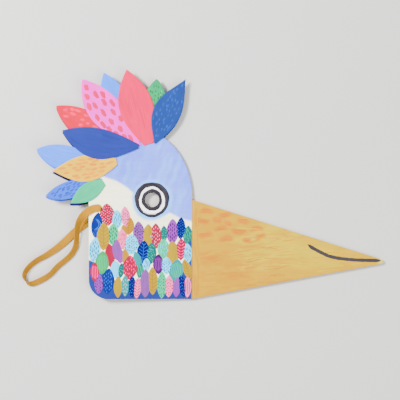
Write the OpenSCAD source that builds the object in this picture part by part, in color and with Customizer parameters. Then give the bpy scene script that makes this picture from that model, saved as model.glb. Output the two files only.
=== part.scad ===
// Two-sided bird-head mask of painted card.
// Each side is a head panel with a crest of card feathers. Both head panels are
// folded along a crease from a long two-layer beak, so that they spread round the
// wearer's head. A flat elastic strap joins them behind the head.
// The mask lies flat: X runs along the beak, Y up the face, Z is its thickness.

/* [Card] */
// Thickness of the head and beak card
card = 1.0; // [0.8:0.1:1.2]
// Thickness of the thinner feather card
feather_card = 0.4; // [0.3:0.05:0.45]
// Width of the scored crease between head and beak
crease_gap = 0.1; // [0.1:0.05:0.3]
// Angle at which the knots hold the two closed head panels apart
rest_angle = 3; // [3:0.5:5]

/* [Head] */
// Length of the head from its back edge to the crease
head_length = 129; // [126:1:132]
// Height of the crease, where the dome of the head begins
crease_height = 123.5; // [120:0.5:126]
// Height of the dome above the top of the crease
dome_height = 86.5; // [82:0.5:90]
// Corner radius at the back of the neck
neck_radius = 24; // [15:1:35]
// Diameter of the eye hole
eye_hole_d = 18; // [14:0.5:20]
// Distance of the eye hole in front of the back edge
eye_x = 78.5; // [74:0.5:84]
// Diameter of the hole that the strap is threaded through
strap_hole_d = 4; // [3.8:0.1:5]

/* [Beak] */
// Length of the beak from the crease to its tip
beak_length = 237.5; // [200:0.5:240]
// Height of the tip above the bottom edge of the head
beak_tip_y = 46.5; // [40:0.5:60]
// Radius of the tip
beak_tip_r = 3; // [2:0.5:5]

/* [Strap] */
// Width of the flat elastic
strap_width = 9.5; // [7:0.5:9.5]
// Thickness of the elastic
strap_thick = 1.1; // [0.9:0.1:1.1]
// Diameter of a knot behind the card
knot_d = 9; // [7:0.5:10]
// Height of a knot
knot_h = 2.6; // [2:0.1:2.6]

/* [Hidden] */
$fn = 72;

// Levels of the stacked card, from the floor up
FEATHER_LEVELS = 4;
left_face = FEATHER_LEVELS * feather_card;
left_inner = left_face + card;
right_face = left_inner + card;

// The crease's foot lies here, so that the origin is under the middle of the mask
crease_x = -21.5;
floor_y = -142.75;

eye_y = 123.5;
strap_hole = [-114.5, 113];

// Each feather: tip, root, bulge to the right and to the left of the line from the
// root to the tip, width of the cut root, shape, level on the head, and colour.
// A shape of 1 is fullest half way along, and a smaller one nearer the tip.
FEATHERS = [
    [[-137, 273],     [-64, 191],     16,   24.5, 0,   0.85, 2, "plum"],
    [[-110.5, 281.5], [-74, 200],     16.5, 18.5, 0,   0.9,  1, "lightsteelblue"],
    [[-82, 285.5],    [-54.5, 193],   18,   21.5, 13,  0.9,  3, "lightcoral"],
    [[-44.5, 274],    [-52, 196],     15,   14.5, 0,   0.8,  1, "mediumaquamarine"],
    [[-8.5, 274],     [-47, 193],     14,   20.5, 0,   1.1,  4, "steelblue"],
    [[-169.5, 240],   [-82, 196],     13.5, 20,   0,   0.85, 1, "salmon"],
    [[-162, 209.5],   [-67, 190],     11.5, 25.5, 5,   0.9,  4, "royalblue"],
    [[-193.5, 186],   [-105, 163],    14.5, 17,   0,   0.8,  1, "lightsteelblue"],
    [[-174, 159.5],   [-94.5, 171],   12.5, 18.5, 8.5, 1,    3, "khaki"],
    [[-182.5, 128],   [-112, 150],    9.5,  12,   0,   0.8,  1, "cornflowerblue"],
    [[-152, 119],     [-110.5, 145.5], 10,  10,   9,   1,    2, "aquamarine"],
];
LEAF_STEPS = 14;
// The crest on the left lies a little lower, as it was glued on by hand
left_crest_shift = [-1, -2];

// The strap's route from the right hole to the left one, as X, Y, Z and the roll
// of the flat band: 0 lies flat, -90 stands on its edge, and -180 lies on its other face.
STRAP_ROUTE = [
    [-112.5, 113, 10.45, 0], [-118, 113.3, 10.8, 0], [-124, 112.2, 11.1, 0],
    [-130.5, 108.6, 12.1, -3], [-136.4, 103.4, 11.4, -25], [-141, 96.8, 9.3, -40],
    [-143.3, 89.5, 7.5, -48], [-144, 81.5, 6.1, -52], [-144.4, 73.5, 4.8, -50],
    [-145.6, 65.5, 4, -41], [-148.4, 59.3, 3.8, -42], [-152.6, 53.6, 3.9, -42],
    [-158.8, 48, 3.7, -41], [-165.8, 42.4, 3.8, -42], [-170.9, 37.5, 3.85, -43],
    [-175, 32.6, 3.9, -44], [-180.2, 28.3, 3.8, -42], [-186.6, 24.6, 3.6, -38],
    [-193.8, 21, 3.55, -37], [-200.8, 18.8, 4, -44], [-206, 20, 4.8, -70],
    [-208.9, 25, 4.9, -106], [-209.4, 30.8, 4.45, -124], [-205.2, 38.2, 4.1, -131],
    [-199.2, 44, 4, -134], [-191.9, 49.1, 3.9, -136], [-184.2, 53.2, 3.6, -141],
    [-176.5, 58, 3.1, -149], [-167.8, 64.2, 2.5, -158], [-159.6, 71.2, 1.5, -171],
    [-151.8, 78.8, 0.8, -180], [-145.1, 85.1, 0.8, -180], [-138.6, 90.4, 0.8, -180],
    [-130.5, 97, 0.8, -180], [-122, 105, 0.8, -180], [-112.9, 114.6, 0.8, -180],
];
// The route's point at the far end of the loop, where the two halves of the band meet
LOOP_END = 22;
STRAP_STEPS = 2;
halves_gap = 0.1;

// Places a piece of the flat-lying mask, given from the crease's foot
module in_place() {
    translate([crease_x, floor_y, 0]) children();
}

// The right side stands open by rest_angle about the outer edge of its crease
module on_right_side() {
    in_place()
        translate([0, 0, right_face])
            rotate([0, rest_angle, 0])
                translate([0, 0, -right_face])
                    children();
}

// ---- Beak ----

// The point where a line from p touches the circle of radius r at c
function touch_point(p, c, r, side) =
    let (away = p - c, lean = atan2(away.y, away.x) + side * acos(r / norm(away)))
        c + r * [cos(lean), sin(lean)];

module beak_outline() {
    root_low = [0, 0];
    root_high = [0, crease_height];
    tip = [beak_length - beak_tip_r, beak_tip_y];
    polygon([
        root_low,
        touch_point(root_low, tip, beak_tip_r, 1),
        touch_point(root_high, tip, beak_tip_r, -1),
        root_high
    ]);
    translate(tip) circle(r = beak_tip_r);
}

module beak_layer(z) {
    color("khaki")
        in_place()
            translate([0, 0, z])
                linear_extrude(card) beak_outline();
}

module beak_right() {
    beak_layer(left_inner);
}

module beak_left() {
    beak_layer(left_face);
}

// ---- Head ----

module head_outline() {
    half = head_length / 2;
    translate([-half, crease_height])
        scale([half / dome_height, 1])
            circle(r = dome_height, $fn = 144);
    translate([-head_length, neck_radius])
        square([head_length, crease_height - neck_radius]);
    translate([-head_length + neck_radius, 0])
        square([head_length - neck_radius, neck_radius]);
    translate([-head_length + neck_radius, neck_radius])
        circle(r = neck_radius);
}

module head_card() {
    intersection() {
        linear_extrude(card) head_outline();
        translate([-2 * head_length - crease_gap, -1, -1])
            cube([2 * head_length, 3 * crease_height, card + 2]);
    }
}

module head_panel() {
    difference() {
        head_card();
        translate([eye_x - head_length, eye_y, -1])
            cylinder(h = card + 2, d = eye_hole_d);
        translate([strap_hole.x, strap_hole.y, -1])
            cylinder(h = card + 2, d = strap_hole_d);
    }
}

module head_panel_right() {
    color("lavender")
        on_right_side()
            translate([0, 0, left_inner]) head_panel();
}

module head_panel_left() {
    color("lavender")
        in_place()
            translate([0, 0, left_face]) head_panel();
}

// ---- Feathers ----

// How full a leaf is at t, from 0 at its tip to 1 at its root
function fullness(t, shape) = sin(180 * pow(t, shape));

// One edge of a leaf from its tip to its root; side is 1 for the left edge
function leaf_edge(tip, root, bulge, cut, shape, side) =
    let (
        along = root - tip,
        across = side * [along.y, -along.x] / norm(along)
    )
    [for (i = [0:LEAF_STEPS])
        let (t = i / LEAF_STEPS)
            tip + along * t + across * (bulge * fullness(t, shape) + cut / 2 * t * t)
    ];

module leaf(f) {
    right = leaf_edge(f[0], f[1], f[2], f[4], f[5], -1);
    left = leaf_edge(f[0], f[1], f[3], f[4], f[5], 1);
    cut_ends = f[4] > 0 ? [left[LEAF_STEPS], right[LEAF_STEPS]] : [f[1]];
    polygon(concat(
        [for (i = [0:LEAF_STEPS - 1]) left[i]],
        cut_ends,
        [for (i = [LEAF_STEPS - 1:-1:1]) right[i]]
    ));
}

module feather_right(i) {
    f = FEATHERS[i - 1];
    color(f[7])
        on_right_side()
            translate([0, 0, right_face + (f[6] - 1) * feather_card])
                linear_extrude(feather_card) leaf(f);
}

module feather_left(i) {
    f = FEATHERS[i - 1];
    color(f[7])
        in_place()
            translate([left_crest_shift.x, left_crest_shift.y,
                       left_face - f[6] * feather_card])
                linear_extrude(feather_card) leaf(f);
}

// ---- Strap ----

// A flat knot with rounded edges, and the gathered elastic that fills its hole
module knot(neck) {
    edge = knot_h / 2;
    rotate_extrude()
        union() {
            square([knot_d / 2 - edge, knot_h]);
            translate([knot_d / 2 - edge, edge])
                intersection() {
                    circle(r = edge);
                    translate([0, -edge]) square([edge, knot_h]);
                }
        }
    cylinder(h = knot_h + neck, d = strap_hole_d - 1);
}

module knot_right() {
    color("orange")
        on_right_side()
            translate([strap_hole.x, strap_hole.y, left_inner - knot_h])
                knot(card + 0.25);
}

module knot_left() {
    color("orange")
        in_place()
            translate([strap_hole.x, strap_hole.y, left_inner + knot_h])
                mirror([0, 0, 1]) knot(card + 0.15);
}

// A smooth curve through the route: the point a share t of the way from point i on
function route_point(i) = STRAP_ROUTE[max(0, min(len(STRAP_ROUTE) - 1, i))];
function smooth_point(i, t) =
    let (
        a = route_point(i - 1),
        b = route_point(i),
        c = route_point(i + 1),
        d = route_point(i + 2)
    )
    b + (c - a) * t / 2 + (2 * a - 5 * b + 4 * c - d) * t * t / 2
      + (3 * b - a - 3 * c + d) * t * t * t / 2;

RINGS = [
    for (i = [0:len(STRAP_ROUTE) - 2], s = [0:STRAP_STEPS - 1]) smooth_point(i, s / STRAP_STEPS),
    route_point(len(STRAP_ROUTE) - 1)
];

function xyz(p) = [p.x, p.y, p.z];
function unit(v) = v / norm(v);
function heading(k) = unit(xyz(RINGS[min(k + 1, len(RINGS) - 1)]) - xyz(RINGS[max(k - 1, 0)]));

// The band's cross-section: a flat oblong with its corners taken off
function band_section() =
    let (w = strap_width / 2, h = strap_thick / 2, c = 0.6)
    [[w, -h / 2], [w, h / 2], [w - c, h], [c - w, h],
     [-w, h / 2], [-w, -h / 2], [c - w, -h], [w - c, -h]];

function ring(k, shift) =
    let (
        ahead = heading(k),
        level = unit(cross([0, 0, 1], ahead)),
        upright = cross(ahead, level),
        roll = RINGS[k][3],
        wide = level * cos(roll) + upright * sin(roll),
        thick = upright * cos(roll) - level * sin(roll)
    )
    [for (p = band_section()) xyz(RINGS[k]) + ahead * shift + wide * p.x + thick * p.y];

// The band from ring first to ring last, as one closed tube
module band(first, last, start_shift) {
    sides = len(band_section());
    count = last - first + 1;
    points = [for (k = [first:last]) each ring(k, k == first ? start_shift : 0)];
    walls = [for (k = [0:count - 2], s = [0:sides - 1])
        let (a = k * sides + s, b = k * sides + (s + 1) % sides)
            each [[a, b, a + sides], [b, b + sides, a + sides]]];
    caps = [
        [for (s = [sides - 1:-1:0]) s],
        [for (s = [0:sides - 1]) (count - 1) * sides + s]
    ];
    color("orange")
        in_place()
            polyhedron(points = points, faces = concat(walls, caps), convexity = 8);
}

module strap_right() {
    band(0, LOOP_END * STRAP_STEPS, 0);
}

module strap_left() {
    band(LOOP_END * STRAP_STEPS, len(RINGS) - 1, halves_gap);
}

beak_right();
beak_left();
head_panel_right();
head_panel_left();
for (i = [1:len(FEATHERS)]) {
    feather_right(i);
    feather_left(i);
}
knot_right();
knot_left();
strap_right();
strap_left();
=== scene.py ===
"""A two-sided bird-head mask of painted card, lying closed on a plain floor.

Every piece of card and paint is built in head coordinates, in millimetres: x from the crease
(the beak is at x > 0), y up from the bottom edge of the head, and h outwards from the painted
face of its side. Shape.build() turns them into the row frame, in metres.
"""
import math
import random

import bpy
import numpy as np
from mathutils.geometry import delaunay_2d_cdt
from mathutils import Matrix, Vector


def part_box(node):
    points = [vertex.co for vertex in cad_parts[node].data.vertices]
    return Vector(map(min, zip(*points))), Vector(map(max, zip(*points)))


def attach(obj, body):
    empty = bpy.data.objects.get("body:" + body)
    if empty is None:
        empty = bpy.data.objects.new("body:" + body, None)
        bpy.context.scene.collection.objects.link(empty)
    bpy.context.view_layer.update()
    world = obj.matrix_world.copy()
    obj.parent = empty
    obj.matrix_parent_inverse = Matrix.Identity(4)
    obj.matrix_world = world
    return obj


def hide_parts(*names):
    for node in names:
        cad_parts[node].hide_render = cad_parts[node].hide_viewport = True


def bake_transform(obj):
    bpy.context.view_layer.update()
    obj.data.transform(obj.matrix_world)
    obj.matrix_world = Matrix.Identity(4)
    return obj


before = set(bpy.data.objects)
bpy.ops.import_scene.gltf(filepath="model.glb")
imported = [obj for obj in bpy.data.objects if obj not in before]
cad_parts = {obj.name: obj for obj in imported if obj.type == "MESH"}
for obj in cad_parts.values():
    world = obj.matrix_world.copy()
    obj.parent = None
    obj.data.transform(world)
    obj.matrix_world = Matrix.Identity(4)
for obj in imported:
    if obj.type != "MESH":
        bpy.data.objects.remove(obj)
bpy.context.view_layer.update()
MM = 0.001
rng = random.Random(7)
vary = rng.uniform
stack = np.column_stack

# ---- Places and sizes, in millimetres ----

BEAK_LOW, BEAK_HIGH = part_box("beak_right")
CREASE_X = BEAK_LOW[0] / MM
FOOT_Y = BEAK_LOW[1] / MM
RIGHT_FACE = BEAK_HIGH[2] / MM
LEFT_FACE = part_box("beak_left")[0][2] / MM
CARD = RIGHT_FACE - BEAK_LOW[2] / MM
REST_ANGLE = math.radians(3)
FEATHER_CARD = 0.4
BEVEL = 0.12
# The spacing of each kind of sheet's mesh points
HEAD_STEP = 1.3
BEAK_STEP = 1.6
FEATHER_STEP = 1.8

HEAD_LENGTH = 129
CREASE_GAP = 0.1
CREASE_HEIGHT = 123.5
DOME_HEIGHT = 86.5
NECK_RADIUS = 24
EYE = (-50.5, 123.5)
EYE_HOLE_R = 9
STRAP_HOLE = (-114.5, 113)
STRAP_HOLE_R = 2

BEAK_LENGTH = 237.5
BEAK_TIP_Y = 46.5
BEAK_TIP_R = 3

# ---- Paint colours, from 0 to 255, deep enough to look right under the bright lights ----

COLOURS = {
    "periwinkle": (88, 115, 236),
    "pale_periwinkle": (117, 139, 247),
    "halo": (106, 172, 249),
    "off_white": (249, 247, 211),
    "ground_blue": (24, 42, 116),
    "white": (249, 249, 249),
    "soft_white": (204, 160, 182),
    "ring_dark": (36, 32, 39),
    "beak_yellow": (180, 135, 0),
    "beak_bright": (187, 158, 0),
    # The pale colour laid over the beak's tip is a painted highlight, where the rounded tip catches the light
    "beak_tip_highlight": (226, 205, 50),
    "beak_orange": (181, 106, 0),
    "beak_deep": (177, 118, 0),
    "mouth": (49, 43, 48),
    "raw_card": (192, 170, 120),
    "core": (147, 133, 105),
    "crimson": (142, 0, 46),
    "pink": (249, 20, 126),
    "pale_pink": (226, 98, 150),
    "magenta": (140, 0, 62),
    "coral": (198, 0, 56),
    "amber": (156, 109, 0),
    "deep_amber": (132, 74, 0),
    "yellow": (150, 121, 0),
    "purple": (110, 57, 130),
    "plum": (47, 0, 74),
    "lilac": (122, 44, 144),
    "violet": (58, 0, 76),
    "teal": (0, 84, 86),
    "dark_teal": (0, 62, 57),
    "turquoise": (0, 120, 122),
    "navy": (0, 3, 80),
    "royal": (4, 28, 104),
    "sky": (0, 84, 193),
    "mint": (0, 166, 112),
    "green": (14, 140, 66),
    "dark_green": (0, 79, 38),
    "pale_cyan": (60, 192, 238),
    "cyan": (0, 78, 112),
    "river": (0, 72, 150),
    "feather_pink": (236, 24, 188),
    "feather_sky": (48, 114, 238),
    "feather_coral": (210, 0, 70),
    "feather_green": (6, 138, 84),
    "feather_blue": (20, 50, 116),
    "feather_red": (192, 0, 46),
    "feather_royal": (29, 43, 120),
    "feather_pale": (56, 114, 240),
    "feather_yellow": (209, 160, 0),
    "feather_periwinkle": (36, 84, 205),
    "feather_mint": (0, 158, 110),
    "feather_navy": (6, 6, 60),
    "feather_deep_blue": (8, 8, 83),
    "coral_spot": (203, 0, 80),
    "blue_fleck": (22, 62, 142),
    "red_fleck": (228, 2, 74),
    "orange_dash": (206, 126, 0),
    "blue_dash": (26, 60, 168),
    "green_dash": (20, 104, 52),
    "amber_elastic": (170, 117, 0),
}


def linear(colour, tint=1.0):
    """A colour's linear values; a tint above 1 is lighter."""
    parts = np.array(COLOURS[colour]) / 255
    return np.clip(np.where(parts <= 0.04045, parts / 12.92, ((parts + 0.055) / 1.055) ** 2.4) * tint, 0, 1)


# ---- Outlines ----

def unit(rows):
    """Each row as a direction of length 1."""
    return rows / np.maximum(np.linalg.norm(rows, axis=1), 1e-9)[:, None]


def left_of(ahead):
    """The flat directions at right angles to ahead, on its left."""
    return stack([-ahead[:, 1], ahead[:, 0]])


def raised(flat, value):
    """Flat points with a third coordinate, the same for all."""
    return stack([flat, np.full(len(flat), value)])


def arc(centre, radii, start, end, count):
    """Points on an ellipse from start to end, in degrees."""
    angles = np.radians(np.linspace(start, end, count))
    return stack([centre[0] + radii[0] * np.cos(angles), centre[1] + radii[1] * np.sin(angles)])


def spread(points, step):
    """The closed outline through points, with a point about every step."""
    out = []
    for a, b in zip(points, np.roll(points, -1, axis=0)):
        parts = max(1, round(float(np.linalg.norm(b - a)) / step))
        out += [a + (b - a) * k / parts for k in range(parts)]
    return np.array(out)


def head_outline():
    half = HEAD_LENGTH / 2
    dome = arc((-half, CREASE_HEIGHT), (half, DOME_HEIGHT), 2, 180, 150)
    neck = arc((NECK_RADIUS - HEAD_LENGTH, NECK_RADIUS), (NECK_RADIUS, NECK_RADIUS), 180, 270, 24)
    crease = np.array([[-CREASE_GAP, 0], [-CREASE_GAP, CREASE_HEIGHT]])
    outline = np.vstack([crease, dome, neck])
    outline[:, 0] = np.minimum(outline[:, 0], -CREASE_GAP)
    return spread(outline, 1.2)


def touch_point(point, centre, radius, side):
    """Where a line from point touches a circle."""
    away = np.subtract(point, centre)
    lean = math.atan2(away[1], away[0]) + side * math.acos(radius / np.linalg.norm(away))
    return np.add(centre, (radius * math.cos(lean), radius * math.sin(lean))), math.degrees(lean)


def beak_outline():
    tip = (BEAK_LENGTH - BEAK_TIP_R, BEAK_TIP_Y)
    _, low = touch_point((0, 0), tip, BEAK_TIP_R, 1)
    _, high = touch_point((0, CREASE_HEIGHT), tip, BEAK_TIP_R, -1)
    nose = arc(tip, (BEAK_TIP_R, BEAK_TIP_R), low % 360 - 360, high, 12)
    return spread(np.vstack([[0, 0], nose, [0, CREASE_HEIGHT]]), 1.5)


def circle(centre, radius, count):
    """A hole's outline, which runs clockwise."""
    return arc(centre, (radius, radius), 0, -360, count + 1)[:-1]


class Leaf:
    """A leaf shape from its tip to its root, fullest near the middle."""

    def __init__(self, tip, root, right, left, cut=0.0, shape=1.0, power=1.0):
        self.tip, self.root = np.array(tip, float), np.array(root, float)
        self.right, self.left, self.cut, self.shape, self.power = right, left, cut, shape, power
        self.length = float(np.linalg.norm(self.root - self.tip))
        self.along = (self.root - self.tip) / self.length
        self.across = np.array([self.along[1], -self.along[0]])
        self.angle = math.atan2(self.along[1], self.along[0])

    def half_width(self, t, side):
        """The width to the left (side 1) or right (side -1) of the midline at t, 0 at the tip."""
        full = np.sin(np.pi * np.clip(t, 0, 1) ** self.shape) ** self.power
        return np.where(side > 0, self.left, self.right) * full + self.cut / 2 * t * t

    def place(self, t, s):
        """The point at t along the leaf and s across it, from -1 to 1."""
        t, s = np.atleast_1d(t).astype(float), np.atleast_1d(s).astype(float)
        off = np.abs(s) * self.half_width(t, np.sign(s)) * np.sign(s)
        return self.tip + np.outer(t * self.length, self.along) + off[:, None] * self.across

    def outline(self, steps):
        t = np.linspace(0, 1, steps + 1)
        left, right = self.place(t, 1), self.place(t, -1)
        ends = [left[-1], right[-1]] if self.cut else [self.root]
        return np.vstack([left[:-1], ends, right[-2:0:-1]])


# ---- Meshes ----

FACES = {"right": "right_side", "left": "left_side", "beak_right": "beak", "beak_left": "beak"}
# The crest's curl at its tips, the distance it grows over as a share of the head's size, and the
# head card's own bow
CREST_LIFT = 1.8
CREST_REACH = 1.2
HEAD_BOW = 0.25


def crest_lift(x, y):
    """How far the right side's card curls up at x, y: the crest stands proud beyond the head."""
    half = HEAD_LENGTH / 2
    above = np.hypot((x + half) / half, np.maximum(y - CREASE_HEIGHT, 0) / DOME_HEIGHT)
    beyond = np.clip((above - 1) / CREST_REACH, 0, 1)
    bow = HEAD_BOW * np.sin(np.pi * np.clip(-x / HEAD_LENGTH, 0, 1)) * np.sin(y / 40)
    return CREST_LIFT * beyond * beyond * (3 - 2 * beyond) + bow


def row_frame(face, points):
    """Head coordinates to the row frame, in metres."""
    x, y, h = np.asarray(points, float).T
    if face == "right":
        h = h + crest_lift(x, y)
        x, z = (x * math.cos(REST_ANGLE) + h * math.sin(REST_ANGLE),
                RIGHT_FACE - x * math.sin(REST_ANGLE) + h * math.cos(REST_ANGLE))
    else:
        z = LEFT_FACE - h if face.endswith("left") else RIGHT_FACE + h
    return stack([x + CREASE_X, y + FOOT_Y, z]) * MM


class Shape:
    """A mesh that grows from patches, with a colour and a grain place at each of its points."""

    def __init__(self, face):
        self.face = face
        self.points, self.faces, self.colours, self.grain, self.kinds = [], [], [], [], []
        self.count = 0

    def add(self, points, faces, colours, grain, kind=0):
        points = np.asarray(points, float)
        self.points.append(points)
        self.colours.append(np.broadcast_to(np.asarray(colours, float), (len(points), 3)))
        self.grain.append(np.asarray(grain, float))
        self.faces += [tuple(self.count + k for k in f) for f in faces]
        self.kinds += [kind] * len(faces)
        self.count += len(points)

    def build(self, name, slot, *nodes, materials=None):
        """The finished piece, which stands for the CAD nodes."""
        points = row_frame(self.face, np.vstack(self.points))
        faces = [f[::-1] for f in self.faces] if self.face.endswith("left") else self.faces
        piece = new_mesh(name, points, faces, np.vstack(self.colours), np.vstack(self.grain),
                         materials or CARD_MATERIALS)
        piece.data.polygons.foreach_set("material_index", self.kinds)
        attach(piece, FACES[self.face])
        if nodes:
            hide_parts(*nodes)


def add_object(name, data, place=(0, 0, 0)):
    """A new object, linked to the scene."""
    made = bpy.data.objects.new(name, data)
    made.location = place
    bpy.context.scene.collection.objects.link(made)
    return made


def new_mesh(name, points, faces, colours, grain, materials):
    """An object with smooth faces, its paint colour and its grain coordinates."""
    mesh = bpy.data.meshes.new(name)
    mesh.from_pydata(points.tolist(), [], faces)
    paint = mesh.attributes.new("Paint", "FLOAT_COLOR", "POINT")
    paint.data.foreach_set("color", stack([colours, np.ones(len(colours))]).astype(np.float32).ravel())
    lay = mesh.attributes.new("Grain", "FLOAT_VECTOR", "POINT")
    lay.data.foreach_set("vector", grain.astype(np.float32).ravel())
    mesh.polygons.foreach_set("use_smooth", [True] * len(mesh.polygons))
    mesh.set_sharp_from_angle(angle=math.radians(50))
    for material in materials:
        mesh.materials.append(material)
    mesh.validate()
    return add_object(name, mesh)


def inside(points, loop):
    """Whether each point lies inside a closed loop."""
    x, y = points[:, 0], points[:, 1]
    found = np.zeros(len(points), bool)
    for (ax, ay), (bx, by) in zip(loop, np.roll(loop, -1, axis=0)):
        if ay != by:
            crosses = (ay > y) != (by > y)
            found ^= crosses & (x < (bx - ax) * (y - ay) / (by - ay) + ax)
    return found


def clear_of(points, loop, gap):
    """Whether each point is at least gap from every point of a loop."""
    near = np.full(len(points), 1e9)
    for p in loop:
        near = np.minimum(near, np.hypot(points[:, 0] - p[0], points[:, 1] - p[1]))
    return near > gap


def move_in(loop, distance):
    """A loop moved towards its card, which lies on its left."""
    return loop + distance * left_of(unit(np.roll(loop, -1, axis=0) - np.roll(loop, 1, axis=0)))


def on_sheet(points, rims):
    """Whether each point lies inside a sheet's outer rim and in none of its holes."""
    keep = inside(points, rims[0])
    for rim in rims[1:]:
        keep &= ~inside(points, rim)
    return keep


def sheet_points(outline, rims, step):
    """Staggered points over a sheet, clear of its edge and its holes."""
    low, high = outline.min(0), outline.max(0)
    grid = np.array([(x + (row % 2) * step / 2, y)
                     for row, y in enumerate(np.arange(low[1], high[1], step * 0.87))
                     for x in np.arange(low[0], high[0], step)])
    clear = np.all([clear_of(grid, rim, step * 0.6) for rim in rims], axis=0)
    return grid[on_sheet(grid, rims) & clear]


def triangulate(points, rims):
    """The points made, the triangles between the rims, and the new number of each point given."""
    edges, start = [], 0
    for rim in rims:
        edges += [(start + k, start + (k + 1) % len(rim)) for k in range(len(rim))]
        start += len(rim)
    found = delaunay_2d_cdt([tuple(p) for p in points], edges, [], 0, 1e-6)
    made = np.array([tuple(p) for p in found[0]])
    number = {given: k for k, origins in enumerate(found[3]) for given in origins}
    triangles = np.array(found[2])
    triangles = triangles[on_sheet(made[triangles].mean(1), rims)]
    a, b, c = (made[triangles[:, k]] for k in range(3))
    turned = (b[:, 0] - a[:, 0]) * (c[:, 1] - a[:, 1]) < (b[:, 1] - a[:, 1]) * (c[:, 0] - a[:, 0])
    triangles[turned] = triangles[turned][:, ::-1]
    return made, triangles.tolist(), number


def card_sheet(shape, loops, top, thick, step, colour_at, grain_at, back="raw_card"):
    """A sheet of card with rounded edges, from its outline and holes: painted on top, bare behind."""
    rims = [move_in(loop, BEVEL) for loop in loops]
    given = np.vstack([*rims, sheet_points(loops[0], rims, step)])
    made, triangles, number = triangulate(given, rims)
    size = len(made)
    paint = colour_at(made)
    bare = np.broadcast_to(linear(back), (size, 3)) if back else paint * 0.9
    points = [raised(made, height) for height in (top, top - thick)]
    colours = [paint, bare]
    walls, count, start = [], 2 * size, 0
    for loop in loops:
        turn = len(loop)
        # The cut edge takes a share of the card core's colour and is darkened as painted shade, the lower rim
        # the most
        edge_core_and_shade = colour_at(loop) * 0.85 + linear("core") * 0.1
        for depth, colour in ((BEVEL, edge_core_and_shade), (thick - BEVEL, edge_core_and_shade * 0.5 + linear("core") * 0.4)):
            points.append(raised(loop, top - depth))
            colours.append(colour)
        ring = [number[start + k] for k in range(turn)]
        upper, lower = range(count, count + turn), range(count + turn, count + 2 * turn)
        levels = (ring, upper, lower, [size + k for k in ring])
        walls += [(over[k], under[k], under[(k + 1) % turn], over[(k + 1) % turn])
                  for k in range(turn) for over, under in zip(levels, levels[1:])]
        count += 2 * turn
        start += turn
    points = np.vstack(points)
    shape.add(points, triangles + walls, np.vstack(colours), grain_at(points[:, :2]))
    behind = shape.count - len(points) + size
    shape.faces += [tuple(behind + k for k in t[::-1]) for t in triangles]
    shape.kinds += [1] * len(triangles)


def quads(rows, count, around=False, looped=False):
    """Faces between rows of count points; around closes each row, looped joins the last row to the first."""
    faces = []
    for row in range(rows if looped else rows - 1):
        here, there = row * count, (row + 1) % rows * count
        for k in range(count if around else count - 1):
            ahead = (k + 1) % count
            faces.append((here + k, there + k, there + ahead, here + ahead))
    return faces


def tube(rows, count):
    """The faces of a tube with closed ends."""
    last = (rows - 1) * count
    return quads(rows, count, True) + [tuple(range(count)), tuple(range(last + count - 1, last - 1, -1))]


def flipped(faces):
    """The same four-sided faces, turned over."""
    return [(a, d, c, b) for a, b, c, d in faces]


def flat_grain(seed):
    """Grain coordinates that follow a sheet's own x and y."""
    return lambda points: raised(points, seed)


# ---- Paint marks ----

def step_over(value, soft):
    """0 below zero and 1 above it, with a soft edge."""
    return np.clip(value / soft + 0.5, 0, 1)


def ripple(x, y, size, seed):
    """A soft wander between -1 and 1, for edges that are painted by hand."""
    return (np.sin(x / size + seed) * 0.5 + np.sin(y / size * 1.3 + seed * 2.1) * 0.3
            + np.sin((x + y) / size * 2.3 + seed * 3.7) * 0.2)


def paint_over(under, paint, share):
    """Colours with a share of one paint laid over each of them."""
    return under * (1 - share[:, None]) + linear(paint) * share[:, None]


def wash(points, colour, marks):
    """Soft brush marks on a painted ground, each a place, length, width, angle, paint and strength."""
    for x, y, length, width, angle, paint, strength in marks:
        off_x, off_y = points[:, 0] - x, points[:, 1] - y
        along = off_x * math.cos(angle) + off_y * math.sin(angle)
        across = off_y * math.cos(angle) - off_x * math.sin(angle) + 0.2 * width * np.sin(along / 3 + x)
        reach = np.abs(along * 2 / length) ** 3 + np.abs(across * 2 / width) ** 2.4
        colour = paint_over(colour, paint, strength * step_over(1 - reach, 1.2))
    return colour


def strewn(count, low, high, length, width, angle, paints, strength):
    """Random soft marks over a region."""
    return [(vary(low[0], high[0]), vary(low[1], high[1]), vary(*length), vary(*width),
             angle + vary(-0.12, 0.12), rng.choice(paints), vary(*strength)) for _ in range(count)]


DAB_POINTS = 12
DAB_RISE = 0.07


def dab(shape, at, length, width, angle, colour, h, rough=0.14):
    """A blob of paint: a rough oval that is thickest in the middle."""
    turns = np.linspace(0, 2 * np.pi, DAB_POINTS, endpoint=False)
    radius = np.array([1 + vary(-rough, rough) for _ in turns])
    ring = stack([length / 2 * np.cos(turns), width / 2 * np.sin(turns)]) * radius[:, None]
    cos, sin = math.cos(angle), math.sin(angle)
    lean = np.array([[cos, sin], [-sin, cos]])
    rows = [raised(at + ring @ lean * share, h + up * DAB_RISE) for share, up in ((1, -0.3), (0.8, 0.7))]
    points = np.vstack([*rows, [[at[0], at[1], h + DAB_RISE]]])
    faces = flipped(quads(2, DAB_POINTS, True))
    faces += [(DAB_POINTS + k, DAB_POINTS + (k + 1) % DAB_POINTS, 2 * DAB_POINTS) for k in range(DAB_POINTS)]
    grain = raised((points[:, :2] - at) @ lean.T, vary(0, 90))
    shape.add(points, faces, linear(colour, vary(0.92, 1.08)), grain, 2)


STROKE_ROWS = ((-1, -0.3), (-0.7, 0.6), (0, 1), (0.7, 0.6), (1, -0.3))


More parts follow.
